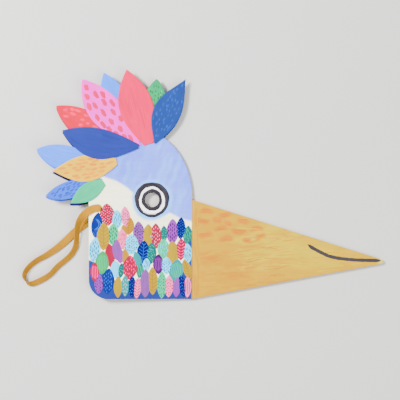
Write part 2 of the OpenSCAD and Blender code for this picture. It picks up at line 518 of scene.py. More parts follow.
def stroke(shape, line, width, colour, h, rise=0.06, tint=1.0, blunt=0.12):
    """One brush stroke along a line of points, with tapered ends."""
    line = np.asarray(line, float)
    steps = np.linalg.norm(np.diff(line, axis=0), axis=1)
    run = np.concatenate([[0], np.cumsum(steps)])
    count = max(4, int(run[-1] / max(width * 0.8, 0.8)) + 3)
    even = np.linspace(0, run[-1], count)
    line = stack([np.interp(even, run, line[:, k]) for k in range(2)])
    across = left_of(unit(np.gradient(line, axis=0)))
    share = even / run[-1]
    half = width / 2 * np.sqrt(np.clip(np.minimum(share, 1 - share) / blunt, 0.02, 1))
    half *= np.array([1 + vary(-0.08, 0.08) for _ in half])
    points, grain, seed = [], [], vary(0, 90)
    for side, up in STROKE_ROWS:
        points.append(raised(line + across * (half * side)[:, None], h + up * rise))
        grain.append(raised(stack([even, half * side]), seed))
    faces = flipped(quads(len(STROKE_ROWS), count))
    shape.add(np.vstack(points), faces, linear(colour, tint * vary(0.95, 1.05)), np.vstack(grain), 2)


LEAF_ROWS = ((-1, -0.4), (-0.82, 0.6), (-0.45, 0.9), (0, 1), (0.45, 0.9), (0.82, 0.6), (1, -0.4))
LEAF_RISE = 0.08


def fill_leaf(shape, leaf, colour, h):
    """A painted leaf: a patch of thick paint with streaks along it."""
    t = np.linspace(0, 1, 17)
    seed = vary(0, 90)
    points, grain, colours = [], [], []
    for s, up in LEAF_ROWS:
        place = leaf.place(t, s)
        place[:, 0] += np.array([vary(-0.12, 0.12) for _ in t]) * (abs(s) == 1)
        place[:, 0] = np.clip(place[:, 0], 0.5 - HEAD_LENGTH, -0.8)
        points.append(raised(place, h + up * LEAF_RISE))
        grain.append(raised(stack([t * leaf.length, (place - leaf.tip) @ leaf.across]), seed))
        colours.append(np.broadcast_to(linear(colour, vary(0.94, 1.06)), (len(t), 3)))
    shape.add(np.vstack(points), quads(len(LEAF_ROWS), len(t)), np.vstack(colours), np.vstack(grain), 2)


def scatter(shape, leaf, colour, h, size, gap, lean=0.0, skip=0.0, wild=0.35, margin=0.5):
    """Marks of one size in staggered columns over a leaf, gap apart along it and across it."""
    length, width = size
    rows = max(2, round(leaf.length / gap[0]))
    columns = math.ceil((leaf.right + leaf.left) / gap[1]) + 1
    spare = width / 2 + margin + abs(math.sin(lean)) * length / 2
    for column in range(-columns, columns + 1):
        for row in range(rows):
            t = (row + 0.3 + 0.4 * (column % 2) + vary(-wild, wild) * 0.6) / rows
            off = (column + vary(-wild, wild) * 0.6) * gap[1]
            side = 1 if off > 0 else -1
            ends = [float(leaf.half_width(t + step * length / 2 / leaf.length, side)) for step in (-1, 0, 1)]
            if abs(off) > min(ends) - spare or rng.random() < skip:
                continue
            at = leaf.tip + leaf.along * t * leaf.length + leaf.across * off
            turn = leaf.angle + lean + vary(-0.2, 0.2)
            dab(shape, at, length * vary(0.75, 1.2), width * vary(0.8, 1.15), turn, colour, h)


def stripes(shape, leaf, colour, h, count, width):
    """Long strokes side by side, from near the tip to near the root."""
    for k in range(count):
        s = (k + 0.5) / count * 1.7 - 0.85
        start = 0.1 + 0.12 * abs(s) + vary(0, 0.06)
        end = 0.9 - 0.12 * abs(s) - vary(0, 0.08)
        ts = np.linspace(start, end, 8)
        stroke(shape, leaf.place(ts, s * 0.9), width, colour, h)


def side_veins(shape, leaf, colour, h, count, width, midrib):
    """A leaf's veins, which run from the midrib up towards the tip, or only their chevrons."""
    if midrib:
        stroke(shape, leaf.place(np.linspace(0.1, 0.9, 8), 0), width, colour, h)
    for k in range(count):
        t = 0.2 + 0.68 * k / max(1, count - 1)
        for side in (-1, 1):
            ts = [t, t - 0.05, t - 0.11]
            stroke(shape, leaf.place(ts, [0.08 * side, 0.4 * side, 0.78 * side]), width, colour, h)


def swirl(shape, leaf, colour, h):
    """Two curling strokes, and small dabs near the root."""
    for inner in (0.0, 0.3):
        ts = np.linspace(0.25, 0.7, 10)
        ss = 0.75 - inner - 1.1 * np.sin((ts - 0.2) / 0.55 * np.pi)
        stroke(shape, leaf.place(ts, ss), 1.1, colour, h)
    end = Leaf(leaf.place(0.66, 0)[0], leaf.root, leaf.right * 0.6, leaf.left * 0.6)
    scatter(shape, end, colour, h, (1.4, 0.7), (2.0, 1.4), margin=0.0)


LIGHT_MARKS = ("soft_white", "sky", "mint", "pale_cyan", "pink")
# Each scattered pattern: a mark's size, whether it grows in length, the gaps, lean, skip, wildness, margin
SCATTERED = {
    "dots": ((1.9, 1.1), True, (3.7, 2.2), 0, 0, 0.35, 0.0),
    "dashes": ((3.2, 1.15), True, (4.9, 2.3), 0, 0, 0.35, 0.15),
    "strokes": ((4.0, 0.85), False, (5.0, 1.8), 0, 0, 0.5, 0.1),
    "hatch": ((2.8, 0.95), True, (3.6, 2.3), 0.7, 0, 0.5, -0.15),
}


def pattern(shape, leaf, words, h):
    """Paints the pattern named by words, such as dots_white, on a small leaf."""
    kind, _, colour = words.partition("_")
    colour = {"dark": "dark_teal", "light": "pale_cyan", "green": "dark_green"}.get(colour, colour)
    size = 0.85 if colour in LIGHT_MARKS else 1.2
    size = 0.74 if colour == "soft_white" else size
    if kind in SCATTERED:
        (length, width), grow, *settings = SCATTERED[kind]
        scatter(shape, leaf, colour, h, (length * (size if grow else 1), width * size), *settings)
    elif kind == "stripes":
        stripes(shape, leaf, colour, h, max(3, int(leaf.right / 1.35)), 0.85)
    elif kind == "veins":
        side_veins(shape, leaf, colour, h, 6, 0.6, True)
    elif kind == "chevrons":
        side_veins(shape, leaf, colour, h, 6, 1.0, False)
    elif kind == "swirl":
        swirl(shape, leaf, colour, h)


# ---- Materials ----

class Nodes:
    """Short calls that build one material."""

    def __init__(self, name):
        self.material = bpy.data.materials.new(name)
        self.material.use_nodes = True
        self.tree = self.material.node_tree
        self.tree.nodes.clear()
        self.shader = self.tree.nodes.new("ShaderNodeBsdfPrincipled")
        self.fill(self.tree.nodes.new("ShaderNodeOutputMaterial"), {"Surface": self.shader.outputs[0]})

    def fill(self, node, inputs):
        """Joins or sets each of a node's inputs."""
        for key, value in inputs.items():
            if isinstance(value, bpy.types.NodeSocket):
                self.tree.links.new(value, node.inputs[key])
            else:
                node.inputs[key].default_value = value
        return node

    def add(self, kind, inputs, output=0, **settings):
        node = self.tree.nodes.new(kind)
        for key, value in settings.items():
            setattr(node, key, value)
        return self.fill(node, inputs).outputs[output]

    def attribute(self, name, output):
        return self.add("ShaderNodeAttribute", {}, output, attribute_name=name)

    def place(self):
        return self.add("ShaderNodeTexCoord", {}, "Object")

    def stretched(self, vector, *scale):
        return self.add("ShaderNodeMapping", {"Vector": vector, "Scale": scale})

    def noise(self, vector, scale, detail, rough):
        return self.add("ShaderNodeTexNoise",
                        {"Vector": vector, "Scale": scale, "Detail": detail, "Roughness": rough})

    def ranged(self, value, low, high, to_low, to_high):
        return self.add("ShaderNodeMapRange", {"Value": value, "From Min": low, "From Max": high,
                                               "To Min": to_low, "To Max": to_high})

    def maths(self, operation, *values):
        return self.add("ShaderNodeMath", dict(enumerate(values)), operation=operation)

    def bump(self, height, distance, **more):
        return self.add("ShaderNodeBump", {"Height": height, "Distance": distance, **more})

    def painted(self, tones, rough, normal, specular):
        """The paint colour times some ranged tones, with its roughness, bumps and gloss."""
        shade, *others = [self.ranged(*tone) for tone in tones]
        for other in others:
            shade = self.maths("MULTIPLY", shade, other)
        paint = self.attribute("Paint", "Color")
        colour = self.add("ShaderNodeVectorMath", {0: paint, "Scale": shade}, operation="SCALE")
        self.fill(self.shader, {"Base Color": colour, "Roughness": rough, "Normal": normal,
                                "Specular IOR Level": specular})
        return self.material


def paint_material(name, streak, ridge, roughness, contrast):
    """Brushed gouache: streaks along the grain, blotches, ridges of paint and the card's tooth."""
    n = Nodes(name)
    grain = n.attribute("Grain", "Vector")
    bristles = n.noise(n.stretched(grain, streak[0], streak[1], 1), 1.0, 6, 0.62)
    sweep = n.noise(n.stretched(grain, streak[0] * 0.6, streak[1] * 0.22, 1), 1.0, 3, 0.5)
    tones = ((bristles, 0.3, 0.7, 1 - contrast, 1 + contrast),
             (sweep, 0.3, 0.7, 1 - contrast * 0.8, 1 + contrast * 0.8),
             (n.noise(n.place(), 55, 3, 0.5), 0.3, 0.7, 0.96, 1.04))
    tooth = n.bump(n.noise(n.place(), 1500, 3, 0.6), 0.00006)
    return n.painted(tones, n.ranged(sweep, 0.3, 0.7, *roughness), n.bump(bristles, ridge, Normal=tooth), 0.1)


def bare_card_material():
    """Unpainted card: flecks, long fibres and a faint tooth."""
    n = Nodes("bare_card")
    fibre = n.noise(n.stretched(n.place(), 1, 6, 1), 300, 6, 0.7)
    tones = ((fibre, 0.3, 0.7, 0.9, 1.08), (n.noise(n.place(), 900, 2, 0.5), 0.35, 0.65, 0.95, 1.03))
    return n.painted(tones, n.ranged(fibre, 0.3, 0.7, 0.8, 0.95), n.bump(fibre, 0.00005), 0.2)


# The spacing of the woven band's cords and of its stitches
RIB = 0.86
STITCH = 1.15


def elastic_material():
    """Woven flat elastic: cords along the band, wrapped by slanting stitches."""
    n = Nodes("woven_elastic")
    grain = n.attribute("Grain", "Vector")
    along, across = (n.add("ShaderNodeSeparateXYZ", {0: grain}, axis) for axis in "XY")
    cord = n.maths("ABSOLUTE", n.maths("SINE", n.maths("MULTIPLY", across, math.pi / RIB)))
    slant = n.maths("MULTIPLY", n.maths("PINGPONG", across, RIB), 0.55)
    turn = n.maths("MULTIPLY", n.maths("ADD", along, slant), math.pi / STITCH)
    stitch = n.maths("ABSOLUTE", n.maths("SINE", turn))
    height = n.maths("ADD", n.maths("MULTIPLY", cord, 0.6), n.maths("MULTIPLY", stitch, 0.4))
    fuzz = n.noise(n.place(), 2600, 3, 0.6)
    # The base colour is darkest where the weave lies lowest: painted shade in the hollows between cords and
    # stitches
    tones = ((height, 0, 1, 0.66, 1.08), (fuzz, 0.3, 0.7, 0.92, 1.06),
             (n.noise(n.place(), 70, 2, 0.5), 0.3, 0.7, 0.95, 1.05))
    n.fill(n.shader, {"Sheen Weight": 0.05})
    weave = n.bump(fuzz, 0.00004, Normal=n.bump(height, 0.00022))
    return n.painted(tones, n.ranged(height, 0, 1, 0.85, 0.6), weave, 0.1)


def floor_material():
    n = Nodes("pale_floor")
    shades = {0: n.noise(n.place(), 3, 2, 0.5), 6: (0.50, 0.49, 0.47, 1), 7: (0.54, 0.53, 0.51, 1)}
    n.fill(n.shader, {"Base Color": n.add("ShaderNodeMix", shades, 2, data_type="RGBA"), "Roughness": 0.9})
    return n.material


# ---- Camera, lights and floor ----

# The camera looks straight down, from a place in millimetres and a height in metres
VIEW_CENTRE = (-12.1, -19.45)
VIEW_HEIGHT = 1.875
VIEW_LENS = 135
FLOOR_HALF = 3.0
FLOOR_Z = -0.0003


def make_camera():
    data = bpy.data.cameras.new("camera")
    data.lens = VIEW_LENS
    data.sensor_width = 36
    data.clip_start = 0.01
    place = (VIEW_CENTRE[0] * MM, VIEW_CENTRE[1] * MM, VIEW_HEIGHT)
    bpy.context.scene.camera = add_object("camera", data, place)


def area_light(name, place, size, watts):
    """A round light that faces the frame's origin."""
    data = bpy.data.lights.new(name, "AREA")
    data.shape = "DISK"
    data.size = size
    data.energy = watts
    x, y, z = place
    light = add_object(name, data, place)
    light.rotation_euler = (math.atan2(math.hypot(x, y), z), 0, math.atan2(y, x) + math.pi / 2)


def make_studio():
    area_light("key", (-1.1, 0.6, 1.2), 0.5, 92)
    area_light("fill", (1.2, -0.9, 1.6), 1.6, 46)
    world = bpy.data.worlds.new("studio")
    world.use_nodes = True
    glow = world.node_tree.nodes["Background"].inputs
    glow["Color"].default_value = (0.95, 0.97, 1, 1)
    glow["Strength"].default_value = 1.17
    bpy.context.scene.world = world
    corners = [(x * FLOOR_HALF, y * FLOOR_HALF, FLOOR_Z) for x, y in ((-1, -1), (1, -1), (1, 1), (-1, 1))]
    mesh = bpy.data.meshes.new("floor")
    mesh.from_pydata(corners, [], [(0, 1, 2, 3)])
    mesh.materials.append(floor_material())
    add_object("floor", mesh)


# ---- Strap ----

# The band's stations between the two holes, as X, Y, Z and roll: 0 is flat and -180 is flat on
# the other face
STRAP_ROUTE = (
    (-118, 113.3, 10.8, 0), (-124, 112.2, 11.1, 0),
    (-130.5, 108.6, 12.1, -3), (-136.4, 103.4, 11.4, -25), (-141, 96.8, 9.3, -40),
    (-143.3, 89.5, 7.5, -48), (-144, 81.5, 6.1, -52), (-144.4, 73.5, 4.8, -50),
    (-145.6, 65.5, 4, -41), (-148.4, 59.3, 3.8, -42), (-152.6, 53.6, 3.9, -42),
    (-158.8, 48, 3.7, -41), (-165.8, 42.4, 3.8, -42), (-170.9, 37.5, 3.85, -43),
    (-175, 32.6, 3.9, -44), (-180.2, 28.3, 3.8, -42), (-186.6, 24.6, 3.6, -38),
    (-193.8, 21, 3.55, -37), (-200.8, 18.8, 4, -44), (-206, 20, 4.8, -70),
    (-208.9, 25, 4.9, -106), (-209.4, 30.8, 4.45, -124), (-205.2, 38.2, 4.1, -131),
    (-199.2, 44, 4, -134), (-191.9, 49.1, 3.9, -136), (-184.2, 53.2, 3.6, -141),
    (-176.5, 58, 3.1, -149), (-167.8, 64.2, 2.5, -158), (-159.6, 71.2, 1.5, -171),
    (-151.8, 78.8, 0.8, -180), (-145.1, 85.1, 0.8, -180), (-138.6, 90.4, 0.8, -180),
    (-130.5, 97, 0.8, -180), (-122, 105, 0.8, -180),
)
LOOP_END = 21
STRAP_WIDTH = 9.5
STRAP_THICK = 1.1
STRAP_STEPS = 10
STRAP_REACH = 12
HALVES_GAP = 0.1


def smooth_route(points, steps):
    """A smooth curve through points, with steps to each stretch."""
    ends = np.vstack([points[:1], points, points[-1:]])
    out = []
    for i in range(len(points) - 1):
        a, b, c, d = ends[i:i + 4]
        for t in np.arange(steps) / steps:
            out.append(b + (c - a) * t / 2 + (2 * a - 5 * b + 4 * c - d) * t * t / 2
                       + (3 * b - a - 3 * c + d) * t ** 3 / 2)
    return np.vstack([out, points[-1:]])


def band_section(width, thick):
    """Half-round cords side by side, as offsets across and through the band."""
    cords = 11
    across = np.linspace(-1, 1, cords * 4 + 1)
    ridge = 0.82 + 0.18 * np.abs(np.sin(across * cords * np.pi / 2))
    edge = np.sqrt(np.clip(1 - np.abs(across) ** 12, 0, 1))
    half = thick / 2 * ridge * edge
    over = stack([across * width / 2, half])
    under = stack([across * width / 2, -half])[-2:0:-1]
    return np.vstack([over, under])


def band_frames(places):
    """The directions across and out of a band that lies level, at each place along it."""
    last = len(places) - 1
    level, upright = [], []
    for k, forward in enumerate(unit(np.gradient(places, axis=0))):
        span = places[min(k + STRAP_REACH, last), :2] - places[max(k - STRAP_REACH, 0), :2]
        across = np.array([-span[1], span[0], 0]) / np.linalg.norm(span)
        across -= forward * (across @ forward)
        across /= np.linalg.norm(across)
        level.append(across)
        upright.append(np.cross(forward, across))
    return np.array(level), np.array(upright)


# How the band goes into each hole, as X, Y, Z and roll
HOLE_END = {
    "right": [(-114.2, 113.05, 8.9, 0), (-114.3, 113.1, 10.1, 0), (-116.6, 113.4, 10.75, 0)],
    "left": [(-115.5, 112, 0.85, -180), (-114.7, 112.8, 1.3, -180), (-114.5, 113, 2.4, -180)],
}
# The band's width and thickness at those stations, from the hole outwards, as shares
END_WIDTHS = (0.38, 0.68, 0.97)
END_THICKS = (1.6, 1.5, 1.15)


def strap_curve():
    """The whole band from hole to hole: X, Y, Z, roll, width and thickness."""
    stations = np.vstack([HOLE_END["right"], STRAP_ROUTE, HOLE_END["left"]])
    widths = np.full(len(stations), STRAP_WIDTH)
    thicks = np.full(len(stations), STRAP_THICK)
    for k in range(3):
        for at in (k, -1 - k):
            widths[at] *= END_WIDTHS[k]
            thicks[at] *= END_THICKS[k]
    return smooth_route(stack([stations, widths, thicks]), STRAP_STEPS)


CURVE = strap_curve()
LEVEL, UPRIGHT = band_frames(CURVE[:, :3])
# The ring at the far end of the loop, which comes after the right hole's own stations
LOOP_RING = (LOOP_END + len(HOLE_END["right"])) * STRAP_STEPS


def band_mesh(name, rings, shift):
    """The band's mesh over some rings of its curve, with the first one moved along by shift."""
    points, grain = [], []
    run = 0.0
    for number, k in enumerate(rings):
        place, width, thick = CURVE[k, :3], CURVE[k, 4], CURVE[k, 5]
        roll = math.radians(CURVE[k, 3])
        wide = LEVEL[k] * math.cos(roll) + UPRIGHT[k] * math.sin(roll)
        deep = UPRIGHT[k] * math.cos(roll) - LEVEL[k] * math.sin(roll)
        if number:
            run += np.linalg.norm(place - CURVE[rings[number - 1], :3])
        else:
            ahead = CURVE[rings[1], :3] - place
            place = place + ahead / np.linalg.norm(ahead) * shift
        section = band_section(width, thick)
        points.append(place + np.outer(section[:, 0], wide) + np.outer(section[:, 1], deep))
        grain.append([(run, across * STRAP_WIDTH / width, 0) for across in section[:, 0]])
    faces = tube(len(rings), len(points[0]))
    points = (np.vstack(points) + (CREASE_X, FOOT_Y, 0)) * MM
    colours = np.broadcast_to(linear("amber_elastic"), (len(points), 3))
    return new_mesh(name, points, faces, colours, np.vstack(grain), [ELASTIC])


def make_strap_half(side):
    """One half of the band, from its hole to the far end of the loop."""
    if side == "right":
        rings, shift = range(LOOP_RING + 1), 0
    else:
        rings, shift = range(LOOP_RING, len(CURVE)), HALVES_GAP
    piece = band_mesh(f"strap_band_{side}", rings, shift)
    path = (CURVE[list(rings), :3] + (CREASE_X, FOOT_Y, 0)) * MM
    length = float(np.linalg.norm(np.diff(path, axis=0), axis=1).sum())
    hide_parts(f"strap_{side}")
    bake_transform(piece)
    return length


make_camera()
CARD_MATERIALS = [
    paint_material("gouache_on_card", (0.045, 0.9), 0.00009, (0.5, 0.72), 0.05),
    bare_card_material(),
    paint_material("thick_gouache", (0.12, 1.6), 0.00006, (0.42, 0.62), 0.06),
]
ELASTIC = elastic_material()
print("strap length, m:", round(make_strap_half("right") + make_strap_half("left"), 4))
make_studio()


# ---- Knots ----

# The knot's middle behind the card, the size and height of its turns, and the half width and
# half thickness of the band in it
KNOT_DEPTH = 1.32
KNOT_R = 1.14
KNOT_WAVE = 0.72
KNOT_CORD = (1.05, 0.56)


def make_knot(side):
    """An overhand knot in the band, flattened against the card's inner face, with a cut tail."""
    shape = Shape(side)
    turns = np.linspace(0, 2 * np.pi, 73)[:-1]
    centre = (*STRAP_HOLE, -CARD - KNOT_DEPTH)
    out = KNOT_R * (2 + np.cos(3 * turns))
    line = centre + stack([out * np.cos(2 * turns), out * np.sin(2 * turns), KNOT_WAVE * np.sin(3 * turns)])
    ahead = unit(np.roll(line, -1, axis=0) - np.roll(line, 1, axis=0))
    sideways = unit(np.cross(ahead, (0, 0, 1)))
    upright = np.cross(sideways, ahead)
    sides = 12
    around = np.linspace(0, 2 * np.pi, sides, endpoint=False)
    wide, deep = KNOT_CORD[0] * np.cos(around), KNOT_CORD[1] * np.sin(around)
    count = len(line)
    points = np.vstack([line[k] + np.outer(wide, sideways[k]) + np.outer(deep, upright[k])
                        for k in range(count)])
    run = np.repeat(np.arange(count) * 0.55, sides)
    grain = stack([run, np.tile(np.sin(around) * 2, count), np.zeros(len(points))])
    shape.add(points, quads(count, sides, True, True), linear("amber_elastic"), grain)
    tail(shape, centre)
    shape.build(f"knot_wrap_{side}", "elastic", f"knot_{side}", materials=[ELASTIC])


def tail(shape, centre):
    """The band's cut end, which sticks out of the knot a little."""
    steps, sides = 9, 8
    points, grain = [], []
    for k in range(steps):
        share = k / (steps - 1)
        x = centre[0] + 2.6 + 3.2 * share
        y = centre[1] - 1.5 - 2.2 * share
        half = 1.1 + 0.8 * share
        for s in range(sides):
            turn = 2 * math.pi * s / sides
            points.append((x + 0.55 * half * math.cos(turn), y + 0.8 * half * math.cos(turn),
                           centre[2] + 0.42 * math.sin(turn)))
            grain.append((share * 4, math.cos(turn) * 2, 0))
    shape.add(points, tube(steps, sides), linear("amber_elastic"), grain)


for side_name in ("right", "left"):
    make_knot(side_name)


# ---- Head panels ----

# Where the painted ground changes across the head, each as x and y: off white begins below the
# neck line and dark blue below the ground line
NECK_LINE = ((-135, 162), (-109.5, 152.5), (-95, 146.5), (-81, 138.5), (-74.5, 133.5), (-60, 118),
             (-40, 108), (-35, 105), (-28, 107), (-22.5, 104.5), (-12, 99.5), (0, 96))
GROUND_LINE = ((-135, 50), (-122, 46), (-112, 34), (-95, 22), (-60, 20), (-25, 24), (-10, 50), (-5, 76),
               (0, 88))
HALO_R = 25.4
EYE_GROUND_R = 12
HEAD_MARKS = strewn(60, (-95, 110), (-2, 208), (25, 60), (3, 7), 1.25,
                    ("periwinkle", "pale_periwinkle", "halo"), (0.1, 0.35))


def head_colours(points):
    """The head's ground: periwinkle above, off white at the neck, dark blue at the foot."""
    x, y = points.T
    neck = np.interp(x, *zip(*NECK_LINE)) + 0.8 * ripple(x, y, 5, 1)
    ground = np.interp(x, *zip(*GROUND_LINE)) + 1.2 * ripple(x, y, 4, 2)
    shade = 0.5 + 0.5 * ripple(x, y * 0.7, 17, 4)
    colour = paint_over(linear("periwinkle"), "pale_periwinkle", 0.7 * shade)
    colour = paint_over(colour, "pale_periwinkle", 0.6 * np.clip(1 - (y - neck) / 16, 0, 1))
    colour = wash(points, colour, HEAD_MARKS)
    colour = paint_over(colour, "off_white", 1 - step_over(y - neck, 3))
    colour = paint_over(colour, "ground_blue", 1 - step_over(y - ground, 1.6))
    from_eye = np.hypot(x - EYE[0], y - EYE[1])
    halo = step_over(HALO_R + 0.9 * ripple(x, y, 6, 5) - from_eye, 3.4)
    colour = paint_over(colour, "halo", halo * np.clip(1.25 - 0.012 * (y - EYE[1] + 20), 0.4, 1))
    colour = paint_over(colour, "ring_dark", step_over(EYE_GROUND_R - from_eye, 1))
    return paint_over(colour, "beak_yellow", step_over(x + 0.9 + 0.5 * ripple(x, y, 3, 6), 0.8))


# Colour, place from the hole's centre, radii and height
RINGS = (
    ("ring_dark", (0.0, 0.3), (21.7, 22.0), 0.02),
    ("white", (0.0, -1.1), (16.2, 17.6), 0.07),
    ("ring_dark", (0.1, -0.1), (13.0, 13.8), 0.12),
)
EYE_STROKES = 26
# Each row of a ring's paint: its place from the inner edge to the outer one, and its height
RING_ROWS = ((0, 0), (0.12, 0.045), (0.35, 0.05), (0.6, 0.055), (0.85, 0.05), (0.96, 0.035), (1, -0.03))


def eye_rings(shape):
    """Three rings of paint round the eye hole, each laid over the one before, and thin strokes."""
    count = 96
    turns = np.linspace(0, 2 * np.pi, count, endpoint=False)
    round_eye = stack([np.cos(turns), np.sin(turns)])
    inner = EYE + (EYE_HOLE_R + BEVEL) * round_eye
    for number, (colour, off, radii, h) in enumerate(RINGS):
        seed = number * 2.3
        wander = (0.35 * np.sin(3 * turns + seed) + 0.2 * np.sin(7 * turns + seed * 2)
                  + 0.12 * np.sin(13 * turns))
        outer = np.add(EYE, off) + (radii + wander[:, None]) * round_eye
        points, grain, colours = [], [], []
        for share, up in RING_ROWS:
            ring = inner * (1 - share) + outer * share
            points.append(raised(ring, h + up))
            grain.append(raised(stack([turns * 18, np.linalg.norm(ring - EYE, axis=1)]), seed))
            colours.append(linear(colour) * np.array([[vary(0.9, 1.12)] for _ in turns]) ** 0.6)
        faces = quads(len(RING_ROWS), count, True)
        shape.add(np.vstack(points), faces, np.clip(np.vstack(colours), 0, 1), np.vstack(grain), 2)
    for _ in range(EYE_STROKES):
        radius = rng.choice((10.6, 11.6, 18.0, 19.4, 20.4))
        start = vary(0, 2 * math.pi)
        ts = np.linspace(start, start + vary(0.5, 1.3), 9)
        shift = RINGS[2][1] if radius < 13 else RINGS[0][1]
        line = EYE + np.multiply(shift, 0.8) + radius * stack([np.cos(ts), np.sin(ts)])
        stroke(shape, line, vary(0.5, 0.9), "ring_dark", 0.2 if radius < 13 else 0.09, 0.04,
               rng.choice((0.6, 1.6, 2.0)))


# The small painted leaves: tip x and y, root x and y, width, colour and pattern
PAINTED_LEAVES = (
    (-117, 108, -121, 75.5, 12.5, "royal", "swirl_sky"),
    (-107, 119, -105, 91, 16.5, "crimson", "dots_soft_white"),
    (-94.5, 111, -93, 88, 12.5, "pale_cyan", "strokes_cyan"),
    (-78, 102, -80, 79.5, 11.5, "amber", "veins_deep_amber"),
    (-86.5, 92.5, -82, 79.5, 8, "amber", "plain"),
    (-84.5, 115.5, -82.5, 89.5, 10.5, "pale_pink", "dots_magenta"),
    (-67.5, 97, -66, 66.5, 13, "purple", "dots_plum"),
    (-55, 93.5, -55.5, 66, 12.5, "yellow", "plain"),
    (-46, 94.5, -45, 62.5, 12.5, "crimson", "dashes_soft_white"),
    (-35.5, 91.5, -35.5, 70.5, 8, "teal", "dots_mint"),
    (-24.5, 100, -25.5, 67, 13.5, "lilac", "dashes_violet"),
    (-14, 102, -15, 74, 10.5, "navy", "dots_sky"),
    (-5, 91.5, -7, 67, 10, "teal", "strokes_mint"),
    (-98, 94.5, -100, 67, 12.5, "mint", "dashes_green"),
    (-88, 87.5, -86.5, 61.5, 11.5, "pale_pink", "strokes_coral"),
    (-110.5, 95.5, -111, 60.5, 15, "yellow", "veins_deep_amber"),
    (-120, 77, -124, 46, 13, "pale_cyan", "dashes_cyan"),
    (-104, 69.5, -101.5, 39, 11, "crimson", "plain"),
    (-89.5, 62, -90, 44.5, 9.5, "lilac", "plain"),
    (-95, 74.5, -94, 48, 11.5, "purple", "strokes_lilac"),
    (-83.5, 63, -84.5, 43.5, 8.5, "amber", "plain"),
    (-76, 81, -76.5, 55, 16, "pale_cyan", "dots_cyan"),
    (-50.5, 70.5, -52.5, 43, 11.5, "teal", "hatch_mint"),
    (-60, 73, -62.5, 43.5, 14, "navy", "veins_sky"),
    (-35.5, 75, -37, 50, 13, "mint", "strokes_light"),
    (-25, 72.5, -25, 41, 14.5, "yellow", "plain"),
    (-14, 75.5, -14.5, 48, 11.5, "crimson", "chevrons_pink"),
    (-6.5, 69.5, -5.5, 44.5, 10, "pale_cyan", "strokes_river"),
    (-111.5, 60, -113.5, 30.5, 15, "green", "stripes_mint"),
    (-96, 48, -96, 26, 11.5, "pale_cyan", "plain"),
    (-71.5, 59, -65, 39, 9.5, "turquoise", "plain"),
    (-64, 44.5, -66.5, 26, 8, "teal", "stripes_mint"),
    (-88, 45, -90, 26, 7, "teal", "hatch_mint"),
    (-77.5, 54.5, -78.5, 24, 16.5, "crimson", "dashes_pink"),
    (-57, 51, -58, 34.5, 9, "pale_cyan", "strokes_river"),
    (-42.5, 56, -42.5, 30.5, 12, "violet", "stripes_lilac"),
    (-32.5, 52.5, -32.5, 30.5, 12.5, "pale_cyan", "dots_river"),
    (-10.5, 49.5, -2.5, 24, 9.5, "yellow", "veins_deep_amber"),
    (-18, 49.5, -23, 21.5, 16, "turquoise", "stripes_mint"),
    (-122, 46, -121, 21, 10, "crimson", "stripes_pink"),
    (-116, 31.5, -117, 6.5, 9.5, "lilac", "dots_violet"),
    (-104, 38.5, -106.5, 6.5, 14, "royal", "dashes_sky"),
    (-92.5, 28.5, -93, 1.5, 9.5, "yellow", "plain"),
    (-83.5, 30, -84, 3, 9, "turquoise", "dashes_soft_white"),
    (-75, 29, -75.5, 2, 9, "navy", "dots_sky"),
    (-67.5, 27, -70, 0.5, 8.5, "pale_pink", "chevrons_crimson"),
    (-58.5, 37.5, -59, 1.5, 12.5, "purple", "plain"),
    (-50, 40, -49.5, 5, 11.5, "yellow", "veins_deep_amber"),
    (-38, 34.5, -38.5, 0.5, 10.5, "mint", "dots_teal"),
    (-29, 29.5, -30, 2, 10, "pale_pink", "dots_crimson"),
    (-18.5, 27, -20.5, 2, 9.5, "lilac", "plain"),
    (-15, 29.5, -10.5, 2.5, 9.5, "navy", "dots_sky"),
    (-6, 28, -6.5, 1.5, 8.5, "pale_pink", "stripes_crimson"),
)
LEAF_STEP = 0.006
LEAF_HALF = 0.57
LEAF_POWER = 0.68
LEAF_H = 0.03
PATTERN_H = 0.07


def painted_leaves(shape):
    """Every small leaf with its pattern, each laid over the ones before."""
    for number, (*ends, width, colour, words) in enumerate(PAINTED_LEAVES):
        leaf = Leaf(ends[:2], ends[2:], width * LEAF_HALF, width * LEAF_HALF, power=LEAF_POWER)
        h = LEAF_H + number * LEAF_STEP
        fill_leaf(shape, leaf, colour, h)
        pattern(shape, leaf, words, h + PATTERN_H)
        for _ in range(3):
            s = vary(-0.6, 0.6)
            ts = np.linspace(vary(0.15, 0.4), vary(0.6, 0.88), 6)
            stroke(shape, leaf.place(ts, s), 0.7, colour, h + 0.05, 0.03, rng.choice((0.88, 1.12)))


def brush_strokes(shape, colours, count, region, length, width, angle, h, loop):
    """Long thin strokes of near colours over a painted ground, kept inside loop."""
    low, high = region
    for _ in range(count):
        at = np.array([vary(low[0], high[0]), vary(low[1], high[1])])
        turn = angle + vary(-0.18, 0.18)
        reach = vary(*length)
        ts = np.linspace(-0.5, 0.5, 7)
        line = at + stack([ts * reach * math.cos(turn) - np.sin(ts * 3) * math.sin(turn),
                           ts * reach * math.sin(turn) + np.sin(ts * 3) * math.cos(turn)])
        if inside(line, loop).all():
            stroke(shape, line, vary(*width), rng.choice(colours), h, 0.025, vary(0.97, 1.04))


def make_head(side):
    card, paint, rings = Shape(side), Shape(side), Shape(side)
    loops = [head_outline(), circle(EYE, EYE_HOLE_R, 72), circle(STRAP_HOLE, STRAP_HOLE_R, 24)]
    card_sheet(card, loops, 0, CARD, HEAD_STEP, head_colours, flat_grain(3.0))
    card.build(f"head_card_{side}", "head_card", f"head_panel_{side}")
    painted_leaves(paint)
    paint.build(f"leaf_paint_{side}", "head_card")
    eye_rings(rings)
    rings.build(f"eye_paint_{side}", "head_card")


# ---- Beak ----

MOUTH_LINE = np.array([
    (143.7, 68), (149, 64), (155.6, 60.4), (162, 57), (169.4, 53.6), (178, 51.4), (187, 50), (197, 49),
    (207, 48.3), (220, 48.0), (235.3, 47.7),
])
MOUTH_WIDTH = 4.3
